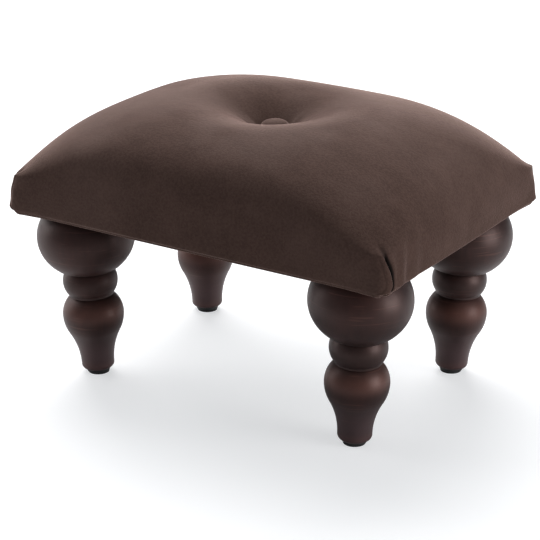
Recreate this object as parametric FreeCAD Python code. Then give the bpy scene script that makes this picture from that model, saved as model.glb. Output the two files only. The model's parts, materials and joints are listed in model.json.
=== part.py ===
import FreeCAD, Part

import math
import os

# Upholstered footstool: a buttoned, crowned cushion built on a wooden box frame,
# standing on four turned bun legs that lean in a little at the foot.
# Millimetres. X runs along the long side, Y towards the back, Z up.
# The origin is on the floor, under the middle of the stool.

Vector = FreeCAD.Vector

# Overall sizes
seat_length = 358.0         # along X, at the cushion's lower edge
seat_width = 262.0          # along Y, at the cushion's lower edge
leg_height = 150.0          # floor to the leg's top
crown_height = 95.5         # the cushion's lower edge to the top of its crown

# Cushion form
swell_x = 4.5               # how far the short sides swell out past the lower edge
swell_y = 2.5               # how far the long sides swell out past the lower edge
swell_height = 6.0          # height above the lower edge where the swell is full
crown_start = 17.0          # height above the lower edge where the sides start to turn in
edge_corner_radius = 9.0    # corners of the upright sides, seen from above
least_corner_radius = 1.0   # of the same corners on the layers inside
edge_bow = 0.6              # how far the lower edges bow out between the corners
swell_bow = 1.8             # the same, where the swell is full
crown_bow = 15.0            # the same, at the top of the crown
end_fullness = 2.2          # higher keeps the short sides upright for longer
end_turn = 0.325            # lower turns them over more sharply near the top
side_fullness = 4.34        # the same two, for the long sides
side_turn = 0.473
crown_corner_share = 0.93   # corner radius at the crown's top, as a share of its half width
crown_corner_power = 0.71   # lower opens the corners out sooner above the deck
# Where the form's level lines are drawn, closer where the crown turns over
wall_levels = (0, 0.1, 0.25, 0.45, 0.7)
crown_levels = (0.05, 0.2, 0.28, 0.38, 0.5, 0.62, 0.73, 0.82, 0.89, 0.95, 1)
tuft_radius = 56.0          # the dish that the button pulls into the crown
tuft_rim_drop = 3.5         # the dish's rim, below the top of the crown
tuft_depth = 29.0           # the button's seat, below the top of the crown
dish_lip = 0.3              # how far the dish's curve would rise past its rim

# Soft layers
cover_thickness = 1.2
wadding_thickness = 6.0     # over the foam
side_wadding = 1.5          # where the cover is pulled tight down the frame
cover_return = 28.0         # the cover turned under the frame
dust_cover_thickness = 0.4
dust_cover_setback = 8.0    # from the cushion's lower edge
soft_gap = 0.3              # clearance between soft layers, and round them

# Wooden frame
rail_thickness = 20.0
rail_height = 26.0
deck_thickness = 6.0
block_size = 44.0           # square corner blocks that the legs screw into

# Legs
leg_setback = 43.0          # the leg's axis at its top, in from both lower edges
leg_lean_deg = 3.0          # towards the middle of the stool, from the top down
foot_radius = 14.2
foot_end_radius = 10.6
foot_chamfer = 4.5
vase_radius = 26.4
vase_drop = 95.0            # the vase's widest line, below the leg's top
vase_shoulder_radius = 22.5
ankle_share = 0.66          # share of the ogee between foot and vase that is hollow
neck_radius = 19.4          # the two grooves, below and above the ring
neck_width = 2.4
ring_radius = 23.6
ring_drop = 64.4            # the ring's widest line, below the leg's top
ring_length = 20.0
ring_end_radius = 20.6
ball_radius = 41.8
ball_half_height = 36.5     # the ball is a little flattened
ball_drop = 23.5            # the ball's widest line, below the leg's top

# Feet
glide_radius = 10.0
glide_thickness = 4.0
glide_edge = 0.8
nail_radius = 1.1
nail_head_radius = 4.0
nail_head_thickness = 1.0
nail_length = 15.0

# Leg fastenings
bolt_radius = 4.0
bolt_in_leg = 34.0
bolt_point = 6.0
nut_flange_radius = 11.0
nut_flange_thickness = 1.6
nut_barrel_wall = 0.85      # round the bolt and its clearance
nut_barrel_length = 9.0
nut_prong_circle = 8.4
nut_prong_size = 1.6
nut_prong_length = 5.0
bore_clearance = 0.15       # radial, round every shaft in its hole
bolt_passage_clearance = 1.0

# Screws, nails and staples
deck_screw_radius = 1.75
deck_screw_length = 22.0
deck_screw_spacing = 110.0
block_screw_radius = 2.0
block_screw_bite = 15.0     # how deep it goes into the rail
block_screw_recess = 14.0
block_screw_aside = 0.21    # share of the block's size, in from its inner faces
block_screw_levels = (0.3, 0.66)    # shares of the rail's height
rail_nail_radius = 1.2
rail_nail_clearance = 4.76  # from its point to the middle of the block screw that it lies beside
rail_nail_levels = (0.35, 0.7)      # shares of the rail's height
head_ratio = 2.0            # head radius over shank radius
point_ratio = 2.0           # point length over shank radius
staple_crown = 10.0
staple_wire = 0.6
staple_leg = 8.0
cover_staple_line = 14.0    # in from the cushion's lower edge
dust_staple_line = 16.0
staple_spacing = 45.0

# Button and its tie
button_radius = 12.2
button_height = 7.2
button_cloth = 0.8
button_shell_wall = 0.5
button_plate_thickness = 0.9
button_lip = 3.7            # how far the cloth is turned in under the button
dome_foot_share = 0.9       # radius of the button's flat underside, of its full radius
dome_edge_share = 0.4       # height of its widest line, of its full height
eye_radius = 2.8
eye_wire = 0.55
twine_radius = 0.9
twine_loop_radius = 2.0
twine_loop_wire = 0.6
knot_radius = 2.4
knot_seat_share = 0.8       # how much of its radius the knot's middle lies under the washer
washer_radius = 12.0
washer_thickness = 2.0
button_gap = 0.1            # between the button's own pieces

# For construction
overrun = 1.0               # how far a cut runs past the face that it opens
eighth_turn = math.sqrt(0.5)

# Heights and half sizes that follow from those
dust_cover_base = leg_height + soft_gap
cushion_base = dust_cover_base + dust_cover_thickness + soft_gap
frame_base = cushion_base + cover_thickness + soft_gap
frame_top = frame_base + rail_height
deck_top = frame_top + deck_thickness
crown_base = cushion_base + crown_start
crown_top = cushion_base + crown_height
dish_rim = crown_top - tuft_rim_drop
dish_floor = crown_top - tuft_depth
frame_inset = cover_thickness + side_wadding + 2 * soft_gap
frame_half_x = seat_length / 2 - frame_inset
frame_half_y = seat_width / 2 - frame_inset
frame_corner = edge_corner_radius - frame_inset
wadding_inset = cover_thickness + soft_gap
foam_inset = wadding_inset + wadding_thickness + soft_gap
block_screw_length = block_size - block_screw_recess + block_screw_bite
rail_nail_length = rail_thickness + (1 - block_screw_aside) * block_size - rail_nail_clearance
nut_barrel_radius = bolt_radius + bore_clearance + nut_barrel_wall
button_mouth_radius = button_radius - button_lip
vase_height = leg_height - vase_drop
ring_height = leg_height - ring_drop
ball_height = leg_height - ball_drop
leg_x = seat_length / 2 - leg_setback
leg_y = seat_width / 2 - leg_setback
far = 2 * seat_length       # longer than anything that is cut

corners = {
    "front_left": (-1, -1),
    "front_right": (1, -1),
    "back_right": (1, 1),
    "back_left": (-1, 1),
}

parts = {}


# Basic shapes

def box(x0, y0, z0, x1, y1, z1):
    return Part.makeBox(x1 - x0, y1 - y0, z1 - z0, Vector(x0, y0, z0))


def centred_box(half_x, half_y, z0, z1):
    return box(-half_x, -half_y, z0, half_x, half_y, z1)


def rounded_slab(half_x, half_y, corner, z0, z1):
    """A flat slab with its four upright corners rounded."""
    slab = centred_box(half_x, half_y, z0, z1)
    upright = [edge for edge in slab.Edges if edge.BoundBox.ZLength > (z1 - z0) / 2]
    return slab.makeFillet(corner, upright)


def rod(radius, start, end):
    return Part.makeCylinder(radius, (end - start).Length, start, end - start)


def line(a, b):
    return Part.LineSegment(Vector(a[0], 0, a[1]), Vector(b[0], 0, b[1])).toShape()


def arc(a, middle, b):
    points = [Vector(p[0], 0, p[1]) for p in (a, middle, b)]
    return Part.Arc(*points).toShape()


def turned(edges):
    """A solid of revolution about Z from a closed profile of (radius, height) edges."""
    return Part.Face(Part.Wire(edges)).revolve(Vector(0, 0, 0), Vector(0, 0, 1), 360)


def countersunk_screw(radius, length, start, direction):
    """A countersunk wood screw: start is the middle of its head, direction its way in."""
    head_radius = head_ratio * radius
    head_depth = head_radius - radius
    point = point_ratio * radius
    way = Vector(direction).normalize()
    head = Part.makeCone(head_radius, radius, head_depth, start, way)
    shank = rod(radius, start + way * head_depth, start + way * (length - point))
    tip = Part.makeCone(radius, 0, point, start + way * (length - point), way)
    return head.fuse([shank, tip]).removeSplitter()


def screw_hole(radius, length, start, direction):
    """The hole for such a screw, larger all round by the bore clearance."""
    way = Vector(direction).normalize()
    wide = radius + bore_clearance
    head_radius = head_ratio * radius + bore_clearance
    head = Part.makeCone(head_radius, wide, head_radius - wide, start, way)
    shank = rod(wide, start, start + way * (length + bore_clearance))
    mouth = rod(head_radius, start - way * overrun, start)
    return head.fuse([shank, mouth])


# The cushion's form, shared by the cover, the wadding and the foam

def oval_wire(half_x, half_y, corner, bow, z):
    """A rounded rectangle with slightly bowed sides: eight tangent arcs."""
    front_radius = (half_x ** 2 + bow ** 2) / (2 * bow)
    side_radius = (half_y ** 2 + bow ** 2) / (2 * bow)
    front_centre = Vector(0, front_radius - half_y, 0)
    side_centre = Vector(half_x - side_radius, 0, 0)
    # The corner's centre is where two circles about those centres cross
    reach_front = front_radius - corner
    reach_side = side_radius - corner
    between = side_centre - front_centre
    gap = between.Length
    along = (reach_front ** 2 - reach_side ** 2 + gap ** 2) / (2 * gap)
    across = math.sqrt(reach_front ** 2 - along ** 2)
    unit = Vector(between).normalize()
    corner_centre = front_centre + unit * along + Vector(unit.y, -unit.x, 0) * -across
    if corner_centre.x < 0 or corner_centre.y > 0:
        corner_centre = front_centre + unit * along + Vector(unit.y, -unit.x, 0) * across
    front_end = front_centre + (corner_centre - front_centre).normalize() * front_radius
    side_end = side_centre + (corner_centre - side_centre).normalize() * side_radius
    outward = ((front_end - corner_centre) + (side_end - corner_centre)).normalize()
    bend = corner_centre + outward * corner

    def at(point, sign_x, sign_y):
        return Vector(sign_x * point.x, sign_y * point.y, z)

    middle_x = Vector(half_x, 0, 0)
    middle_y = Vector(0, -half_y, 0)
    runs = [
        (at(front_end, 1, 1), at(bend, 1, 1), at(side_end, 1, 1)),
        (at(side_end, 1, 1), at(middle_x, 1, 1), at(side_end, 1, -1)),
        (at(side_end, 1, -1), at(bend, 1, -1), at(front_end, 1, -1)),
        (at(front_end, 1, -1), at(middle_y, 1, -1), at(front_end, -1, -1)),
        (at(front_end, -1, -1), at(bend, -1, -1), at(side_end, -1, -1)),
        (at(side_end, -1, -1), at(middle_x, -1, 1), at(side_end, -1, 1)),
        (at(side_end, -1, 1), at(bend, -1, 1), at(front_end, -1, 1)),
        (at(front_end, -1, 1), at(middle_y, 1, 1), at(front_end, 1, 1)),
    ]
    return Part.Wire([Part.Arc(*run).toShape() for run in runs])


def inset_corner(inset):
    return max(edge_corner_radius - inset, least_corner_radius)


def wall_section(level, inset):
    """The upright side of the cushion: level is 0 at its lower edge, 1 where the crown starts."""
    height = level * crown_start
    swell = 1 - (1 - min(height / swell_height, 1)) ** 2
    half_x = seat_length / 2 + swell_x * swell - inset
    half_y = seat_width / 2 + swell_y * swell - inset
    bow = edge_bow + (swell_bow - edge_bow) * swell
    return oval_wire(half_x, half_y, inset_corner(inset), bow, cushion_base + height)


def crown_section(level, inset):
    """A level line of the crown: level is 0 where the crown starts and 1 at the dish's rim."""
    share = level * (dish_rim - crown_base) / (crown_top - crown_base)
    outer_z = crown_base + share * (crown_top - crown_base)
    # The inset turns from sideways to downwards as the crown turns over
    sideways = inset * math.sqrt(1 - level ** 2)
    full_x = seat_length / 2 + swell_x
    full_y = seat_width / 2 + swell_y
    half_x = full_x * (1 - share ** end_fullness) ** end_turn - sideways
    half_y = full_y * (1 - share ** side_fullness) ** side_turn - sideways
    # Down the frame the sides stay straight and the corners sharp, and both round out above it
    above_deck = max(outer_z - deck_top, 0) / (crown_top - deck_top)
    sharp = inset_corner(sideways)
    corner = sharp + (crown_corner_share * half_y - sharp) * above_deck ** crown_corner_power
    bow = swell_bow + (crown_bow - swell_bow) * above_deck
    return oval_wire(half_x, half_y, corner, bow, outer_z - inset * level)


def cushion_form(inset):
    """The crowned form, drawn in by inset, flat on top where the dish is cut."""
    sections = [wall_section(level, inset) for level in wall_levels]
    sections += [crown_section(level, inset) for level in crown_levels]
    return Part.makeLoft(sections, True, False)


def dish(inset):
    """What the button takes out of the crown, drawn in by inset."""
    floor_radius = button_radius + button_cloth
    run = tuft_radius - floor_radius
    lip_z = dish_rim + dish_lip
    drop = lip_z - dish_floor
    radius = (run ** 2 + drop ** 2) / (2 * drop)
    centre_z = lip_z - radius
    inner = radius - inset
    floor_z = dish_floor - inset
    floor_end = tuft_radius - math.sqrt(inner ** 2 - (floor_z - centre_z) ** 2)
    half_turn = math.atan2(tuft_radius - floor_end, floor_z - centre_z) / 2
    middle = (tuft_radius - inner * math.sin(half_turn), centre_z + inner * math.cos(half_turn))
    lip = (tuft_radius, lip_z - inset)
    open_z = crown_top + tuft_depth
    return turned([
        line((0, floor_z), (floor_end, floor_z)),
        arc((floor_end, floor_z), middle, lip),
        line(lip, (tuft_radius, open_z)),
        line((tuft_radius, open_z), (0, open_z)),
        line((0, open_z), (0, floor_z)),
    ])


def tufted_form(inset):
    return cushion_form(inset).cut(dish(inset))


def below(z):
    return centred_box(far, far, -far, z)


def above(z):
    return centred_box(far, far, z, far)


# Fastenings that more than one piece is cut for

def staple(x, y, along_x, top_of_crown):
    """A staple whose crown lies flat under a layer and whose legs point up."""
    half = staple_crown / 2
    wire = staple_wire / 2
    low = top_of_crown - staple_wire
    high = top_of_crown + staple_leg
    crown = box(-half, -wire, low, half, wire, top_of_crown)
    legs = [box(-half, -wire, low, -half + staple_wire, wire, high),
            box(half - staple_wire, -wire, low, half, wire, high)]
    shape = crown.fuse(legs).removeSplitter()
    if not along_x:
        shape.rotate(Vector(0, 0, 0), Vector(0, 0, 1), 90)
    shape.translate(Vector(x, y, 0))
    return shape


def spaced(half_span, spacing, offset):
    """Places along one side, a whole spacing apart, within half_span of its middle."""
    count = int(half_span / spacing) + 1
    places = [(index + offset) * spacing for index in range(-count - 1, count + 1)]
    return [place for place in places if abs(place) <= half_span]


def staples_round(line_setback, clear_setback, offset, top_of_crown):
    """Staples down all four sides, clear of the corners by clear_setback."""
    line_x = seat_length / 2 - line_setback
    line_y = seat_width / 2 - line_setback
    shapes = []
    for place in spaced(seat_length / 2 - clear_setback, staple_spacing, offset):
        shapes += [staple(place, side * line_y, True, top_of_crown) for side in (-1, 1)]
    for place in spaced(seat_width / 2 - clear_setback, staple_spacing, offset):
        shapes += [staple(side * line_x, place, False, top_of_crown) for side in (-1, 1)]
    return shapes


def cover_staples():
    clear = leg_setback + staple_crown
    return staples_round(cover_staple_line, clear, 0.5, cushion_base + staple_wire)


def dust_cover_staples():
    clear = leg_setback + ball_radius
    return staples_round(dust_staple_line, clear, 0, dust_cover_base)


def deck_screw_places():
    line_x = frame_half_x - rail_thickness / 2
    line_y = frame_half_y - rail_thickness / 2
    long_side = [(place * deck_screw_spacing, side * line_y)
                 for place in (-1, 0, 1) for side in (-1, 1)]
    short_side = [(side * line_x, 0) for side in (-1, 1)]
    return long_side + short_side


def deck_screws(maker):
    return [maker(deck_screw_radius, deck_screw_length, Vector(x, y, deck_top), Vector(0, 0, -1))
            for x, y in deck_screw_places()]


def rail_nail_places():
    """Two nails at each corner, one over the other, through a long rail into a short one."""
    line_x = frame_half_x - rail_thickness / 2
    heights = [frame_base + level * rail_height for level in rail_nail_levels]
    return [(sign_x * line_x, sign_y, z) for sign_x, sign_y in corners.values() for z in heights]


def rail_nails(clearance):
    head_radius = head_ratio * rail_nail_radius + clearance
    head_depth = rail_nail_radius + clearance
    shapes = []
    for x, sign_y, z in rail_nail_places():
        start = Vector(x, sign_y * frame_half_y, z)
        way = Vector(0, -sign_y, 0)
        head = rod(head_radius, start, start + way * head_depth)
        shank = rod(rail_nail_radius + clearance, start, start + way * (rail_nail_length + clearance))
        shapes.append(head.fuse(shank))
    return shapes


def block_corner(sign_x, sign_y):
    """The corner block's inner faces, as the two numbers that its outer faces add to."""
    outer_x = frame_half_x - rail_thickness
    outer_y = frame_half_y - rail_thickness
    return sign_x * (outer_x - block_size), sign_y * (outer_y - block_size)


def block_screw_lines(sign_x, sign_y):
    """Where one screw into each of a block's two rails starts, and its way in."""
    inner_x, inner_y = block_corner(sign_x, sign_y)
    aside = block_screw_aside * block_size
    low, high = [frame_base + level * rail_height for level in block_screw_levels]
    to_side = Vector(inner_x + sign_x * block_screw_recess, inner_y + sign_y * aside, low)
    to_long = Vector(inner_x + sign_x * aside, inner_y + sign_y * block_screw_recess, high)
    return [(to_side, Vector(sign_x, 0, 0)), (to_long, Vector(0, sign_y, 0))]


def block_screws(sign_x, sign_y, maker):
    return [maker(block_screw_radius, block_screw_length, start, way)
            for start, way in block_screw_lines(sign_x, sign_y)]


def block_screw_recesses(sign_x, sign_y):
    radius = head_ratio * block_screw_radius + 2 * bore_clearance
    depth = block_screw_recess + overrun
    return [rod(radius, start - way * depth, start)
            for start, way in block_screw_lines(sign_x, sign_y)]


# Leg pieces, drawn upright with their foot at the origin and then leant

def lean(shape, sign_x, sign_y):
    """Move an upright leg piece to its corner, with its foot leaning to the middle."""
    pull = Vector(-sign_x * leg_x, -sign_y * leg_y, 0).normalize()
    turn = FreeCAD.Rotation(Vector(pull.y, -pull.x, 0), leg_lean_deg)
    to_pivot = FreeCAD.Placement(Vector(0, 0, -leg_height), FreeCAD.Rotation())
    to_place = FreeCAD.Placement(Vector(sign_x * leg_x, sign_y * leg_y, leg_height), turn)
    return shape.transformed(to_place.multiply(to_pivot).toMatrix(), True)


def ogee(low, high, hollow_share):
    """Two tangent arcs from low to high, upright at both ends, hollow below."""
    rise = high[1] - low[1]
    reach = high[0] - low[0]
    turn = 2 * math.atan2(reach, rise)
    total = rise / math.sin(turn)
    hollow = total * hollow_share
    full = total - hollow
    meet = (low[0] + hollow * (1 - math.cos(turn)), low[1] + hollow * math.sin(turn))
    half = turn / 2
    low_middle = (low[0] + hollow * (1 - math.cos(half)), low[1] + hollow * math.sin(half))
    high_middle = (high[0] - full * (1 - math.cos(half)), high[1] - full * math.sin(half))
    return [arc(low, low_middle, meet), arc(meet, high_middle, high)]


def turned_leg():
    """The leg's profile from the foot up: ankle, vase, groove, ring, groove, ball."""
    foot_end = (foot_end_radius, glide_thickness)
    foot = (foot_radius, glide_thickness + foot_chamfer)
    side = foot_radius - foot_end_radius
    foot_bend = (foot[0] - (1 - eighth_turn) * side, foot[1] - eighth_turn * foot_chamfer)
    widest = (vase_radius, vase_height)
    ring_half = ring_length / 2
    ring_low = (ring_end_radius, ring_height - ring_half)
    ring_high = (ring_end_radius, ring_height + ring_half)
    lower_neck = ring_low[1] - neck_width
    shoulder_run = lower_neck - vase_height
    shoulder_drop = vase_shoulder_radius - math.sqrt(vase_shoulder_radius ** 2 - shoulder_run ** 2)
    shoulder = (vase_radius - shoulder_drop, lower_neck)
    half_run = shoulder_run / 2
    shoulder_bend = (vase_radius - vase_shoulder_radius
                     + math.sqrt(vase_shoulder_radius ** 2 - half_run ** 2), vase_height + half_run)
    upper_neck = ring_high[1] + neck_width
    top = leg_height + ball_radius * math.tan(math.radians(leg_lean_deg)) + overrun
    rise_low = (upper_neck - ball_height) / ball_half_height
    rise_top = (top - ball_height) / ball_half_height
    ball_low = (ball_radius * math.sqrt(1 - rise_low ** 2), upper_neck)
    ball_top = (ball_radius * math.sqrt(1 - rise_top ** 2), top)
    oval = Part.Ellipse(Vector(ball_radius, 0, ball_height),
                        Vector(0, 0, ball_height + ball_half_height),
                        Vector(0, 0, ball_height))
    ball = Part.ArcOfEllipse(oval, math.asin(rise_low), math.asin(rise_top)).toShape()
    return turned([
        line((0, glide_thickness), foot_end),
        arc(foot_end, foot_bend, foot),
        *ogee(foot, widest, ankle_share),
        arc(widest, shoulder_bend, shoulder),
        line(shoulder, (neck_radius, lower_neck)),
        line((neck_radius, lower_neck), (neck_radius, ring_low[1])),
        line((neck_radius, ring_low[1]), ring_low),
        arc(ring_low, (ring_radius, ring_height), ring_high),
        line(ring_high, (neck_radius, ring_high[1])),
        line((neck_radius, ring_high[1]), (neck_radius, upper_neck)),
        line((neck_radius, upper_neck), ball_low),
        ball,
        line(ball_top, (0, top)),
        line((0, top), (0, glide_thickness)),
    ])


def glide_nail(clearance):
    """The nail moulded into the glide, head down."""
    head_low = glide_thickness / 2 - clearance
    head_high = head_low + nail_head_thickness + 2 * clearance
    head = rod(nail_head_radius + clearance, Vector(0, 0, head_low), Vector(0, 0, head_high))
    shank_end = glide_thickness / 2 + nail_head_thickness + nail_length + clearance
    shank = rod(nail_radius + clearance, Vector(0, 0, head_low), Vector(0, 0, shank_end))
    return head.fuse(shank).removeSplitter()


def glide():
    """A round glide, long enough below to be cut level with the floor."""
    low = -glide_radius * math.tan(math.radians(leg_lean_deg)) - overrun
    disc = turned([
        line((0, low), (glide_radius - glide_edge, low)),
        line((glide_radius - glide_edge, low), (glide_radius - glide_edge, glide_edge / 2)),
        line((glide_radius - glide_edge, glide_edge / 2), (glide_radius, 2 * glide_edge)),
        line((glide_radius, 2 * glide_edge), (glide_radius, glide_thickness)),
        line((glide_radius, glide_thickness), (0, glide_thickness)),
        line((0, glide_thickness), (0, low)),
    ])
    return disc.cut(glide_nail(0))


def nut_level():
    """Height of the nut's flange, just under the block's top along the leant axis."""
    slope = math.radians(leg_lean_deg)
    to_top = (frame_top - leg_height) / math.cos(slope)
    sunk = nut_flange_radius * math.tan(slope) + bore_clearance
    return leg_height + to_top - sunk - nut_flange_thickness


def hanger_bolt(clearance):
    """Pointed for wood at its lower end, machine thread above."""
    low = leg_height - bolt_in_leg - clearance
    top = nut_level() + nut_flange_thickness
    radius = bolt_radius + clearance
    point = Part.makeCone(0, radius, bolt_point, Vector(0, 0, low), Vector(0, 0, 1))
    return point.fuse(rod(radius, Vector(0, 0, low + bolt_point), Vector(0, 0, top))).removeSplitter()


def nut_prongs():
    half = nut_prong_size / 2
    level = nut_level()
    shapes = []
    for quarter in range(4):
        prong = box(nut_prong_circle - half, -half, level - nut_prong_length,
                    nut_prong_circle + half, half, level)
        prong.rotate(Vector(0, 0, 0), Vector(0, 0, 1), 90 * quarter)
        shapes.append(prong)
    return shapes


def t_nut():
    level = nut_level()
    flange = rod(nut_flange_radius, Vector(0, 0, level), Vector(0, 0, level + nut_flange_thickness))
    barrel = rod(nut_barrel_radius, Vector(0, 0, level - nut_barrel_length), Vector(0, 0, level))
    body = flange.fuse([barrel] + nut_prongs()).removeSplitter()
    return body.cut(hanger_bolt(bore_clearance))


def block_bore():
    """What the leg's fastening takes out of its corner block."""
    level = nut_level()
    recess = rod(nut_flange_radius + bore_clearance, Vector(0, 0, level), Vector(0, 0, far))
    barrel = rod(nut_barrel_radius + bore_clearance,
                 Vector(0, 0, level - nut_barrel_length - bore_clearance), Vector(0, 0, level))
    shaft = rod(bolt_radius + bore_clearance, Vector(0, 0, 0), Vector(0, 0, level))
    return recess.fuse([barrel, shaft] + nut_prongs())


def bolt_passage():
    """A round way through the dust cover for one bolt."""
    reach = bolt_radius + bolt_passage_clearance
    return rod(reach, Vector(0, 0, leg_height - reach), Vector(0, 0, leg_height + reach))


# Pieces

def make_legs():
    nails = []
    for corner, (sign_x, sign_y) in corners.items():
        hole = hanger_bolt(bore_clearance).fuse(glide_nail(bore_clearance))
        leg = lean(turned_leg().cut(hole), sign_x, sign_y)
        parts[f"leg_{corner}"] = leg.cut(above(leg_height))
        parts[f"glide_{corner}"] = lean(glide(), sign_x, sign_y).cut(below(0))
        parts[f"hanger_bolt_{corner}"] = lean(hanger_bolt(0), sign_x, sign_y)
        parts[f"t_nut_{corner}"] = lean(t_nut(), sign_x, sign_y)
        nails.append(lean(glide_nail(0), sign_x, sign_y))
    parts["glide_nails"] = Part.makeCompound(nails)


def make_frame():
    cuts = deck_screws(screw_hole) + rail_nails(bore_clearance)
    cuts += cover_staples() + dust_cover_staples()
    for sign_x, sign_y in corners.values():
        cuts += block_screws(sign_x, sign_y, screw_hole)
    outline = rounded_slab(frame_half_x, frame_half_y, frame_corner, frame_base, frame_top)
    inner_x = frame_half_x - rail_thickness
    inner_y = frame_half_y - rail_thickness
    long_rail = outline.cut(centred_box(far, inner_y, -far, far)).cut(cuts)
    parts["front_rail"] = long_rail.common(box(-far, -far, -far, far, 0, far))
    parts["back_rail"] = long_rail.common(box(-far, 0, -far, far, far, far))
    short_rail = outline.common(centred_box(far, inner_y, -far, far))
    short_rail = short_rail.cut(centred_box(inner_x, far, -far, far)).cut(cuts)
    parts["left_rail"] = short_rail.common(box(-far, -far, -far, 0, far, far))
    parts["right_rail"] = short_rail.common(box(0, -far, -far, far, far, far))


def make_corner_blocks():
    screws = []
    for corner, (sign_x, sign_y) in corners.items():
        inner_x, inner_y = block_corner(sign_x, sign_y)
        outer_x = inner_x + sign_x * block_size
        outer_y = inner_y + sign_y * block_size
        block = box(min(inner_x, outer_x), min(inner_y, outer_y), frame_base,
                    max(inner_x, outer_x), max(inner_y, outer_y), frame_top)
        cuts = [lean(block_bore(), sign_x, sign_y)]
        cuts += block_screws(sign_x, sign_y, screw_hole) + block_screw_recesses(sign_x, sign_y)
        parts[f"corner_block_{corner}"] = block.cut(cuts)
        screws += block_screws(sign_x, sign_y, countersunk_screw)
    parts["corner_block_screws"] = Part.makeCompound(screws)
    parts["rail_nails"] = Part.makeCompound(rail_nails(0))


def make_deck():
    deck = rounded_slab(frame_half_x, frame_half_y, frame_corner, frame_top, deck_top)
    twine_way = rod(knot_radius, Vector(0, 0, frame_top - overrun),
                    Vector(0, 0, deck_top + overrun))
    parts["deck_panel"] = deck.cut(deck_screws(screw_hole) + [twine_way])
    parts["deck_screws"] = Part.makeCompound(deck_screws(countersunk_screw))


def make_upholstery():
    tie_way = rod(eye_radius + 2 * eye_wire, Vector(0, 0, 0), Vector(0, 0, far))
    foam_base = deck_top + soft_gap
    parts["foam_block"] = tufted_form(foam_inset).cut([below(foam_base), tie_way])
    cavity = tufted_form(foam_inset - soft_gap).cut(below(deck_top))
    frame_room = rounded_slab(frame_half_x + soft_gap, frame_half_y + soft_gap,
                              frame_corner + soft_gap, 0, foam_base)
    wadding = tufted_form(wadding_inset)
    parts["wadding"] = wadding.cut([cavity, frame_room, tie_way, below(frame_base)])
    inside = tufted_form(cover_thickness).cut(below(cushion_base + cover_thickness))
    mouth = rounded_slab(seat_length / 2 - cover_return, seat_width / 2 - cover_return,
                         edge_corner_radius, 0, frame_top)
    cover = tufted_form(0).cut([inside, mouth, tie_way])
    parts["fabric_cover"] = cover.cut(cover_staples() + dust_cover_staples())
    parts["cover_staples"] = Part.makeCompound(cover_staples())


def make_dust_cover():
    sheet = rounded_slab(seat_length / 2 - dust_cover_setback, seat_width / 2 - dust_cover_setback,
                         edge_corner_radius / 2, dust_cover_base,
                         dust_cover_base + dust_cover_thickness)
    passages = [lean(bolt_passage(), *signs) for signs in corners.values()]
    parts["dust_cover"] = sheet.cut(passages + dust_cover_staples())
    parts["dust_cover_staples"] = Part.makeCompound(dust_cover_staples())


def button_dome(radius, height, base):
    """A domed disc with a rounded edge."""
    edge_z = base + dome_edge_share * height
    rise = (1 - dome_edge_share) * height
    dome = (radius ** 2 + rise ** 2) / (2 * rise)
    half = radius / 2
    middle = (half, base + height - dome + math.sqrt(dome ** 2 - half ** 2))
    under_radius = dome_foot_share * radius
    under = (under_radius, base)
    bend = (under_radius + eighth_turn * (radius - under_radius),
            base + (1 - eighth_turn) * (edge_z - base))
    return turned([
        line((0, base), under),
        arc(under, bend, (radius, edge_z)),
        arc((radius, edge_z), middle, (0, base + height)),
        line((0, base + height), (0, base)),
    ])


def make_button():
    base = dish_floor + soft_gap
    shell_radius = button_radius - button_cloth - button_gap
    shell_height = button_height - 2 * (button_cloth + button_gap)
    shell_base = base + button_cloth + button_gap
    room = button_dome(shell_radius + button_gap, shell_height + 2 * button_gap,
                       shell_base - button_gap)
    lip_mouth = rod(button_mouth_radius, Vector(0, 0, base - overrun), Vector(0, 0, shell_base))
    parts["button_cover"] = button_dome(button_radius, button_height, base).cut([room, lip_mouth])
    hollow_radius = shell_radius - button_shell_wall
    hollow = button_dome(hollow_radius, shell_height - button_shell_wall, shell_base)
    parts["button_shell"] = button_dome(shell_radius, shell_height, shell_base).cut(hollow)
    plate_top = shell_base + button_plate_thickness
    plate_radius = dome_foot_share * hollow_radius - button_gap
    plate = rod(plate_radius, Vector(0, 0, shell_base), Vector(0, 0, plate_top))
    eye_centre = shell_base - eye_radius / 2
    eye = Part.makeTorus(eye_radius, eye_wire, Vector(0, 0, eye_centre), Vector(0, 1, 0))
    parts["button_back"] = plate.cut(eye)
    parts["button_eye"] = eye
    # The twine's loop hangs from the eye's lowest point, inside the eye
    loop_centre = eye_centre - eye_radius + eye_wire + 2 * twine_loop_wire - twine_loop_radius
    loop = Part.makeTorus(twine_loop_radius, twine_loop_wire,
                          Vector(0, 0, loop_centre), Vector(1, 0, 0))
    washer_base = frame_top - washer_thickness
    knot_centre = washer_base - knot_seat_share * knot_radius
    strand = rod(twine_radius, Vector(0, 0, knot_centre),
                 Vector(0, 0, loop_centre - twine_loop_radius))
    knot = Part.makeSphere(knot_radius, Vector(0, 0, knot_centre)).cut(above(washer_base))
    parts["tufting_twine"] = loop.fuse([strand, knot]).removeSplitter()
    washer = rod(washer_radius, Vector(0, 0, washer_base), Vector(0, 0, frame_top))
    washer_hole = rod(twine_radius + bore_clearance, Vector(0, 0, 0), Vector(0, 0, far))
    parts["twine_washer"] = washer.cut(washer_hole)


make_legs()
make_frame()
make_corner_blocks()
make_deck()
make_upholstery()
make_dust_cover()
make_button()

os.makedirs("parts", exist_ok=True)
for name, shape in parts.items():
    shape.exportStep(f"parts/{name}.step")
    print(f"{name}: {len(shape.Solids)} solid(s), {shape.Volume / 1000:.2f} cm3, valid {shape.isValid()}")
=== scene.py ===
import json
import math

import bmesh
import bpy
from bpy.props import FloatProperty, FloatVectorProperty, IntProperty, PointerProperty
from mathutils import Matrix, Vector, noise


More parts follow.
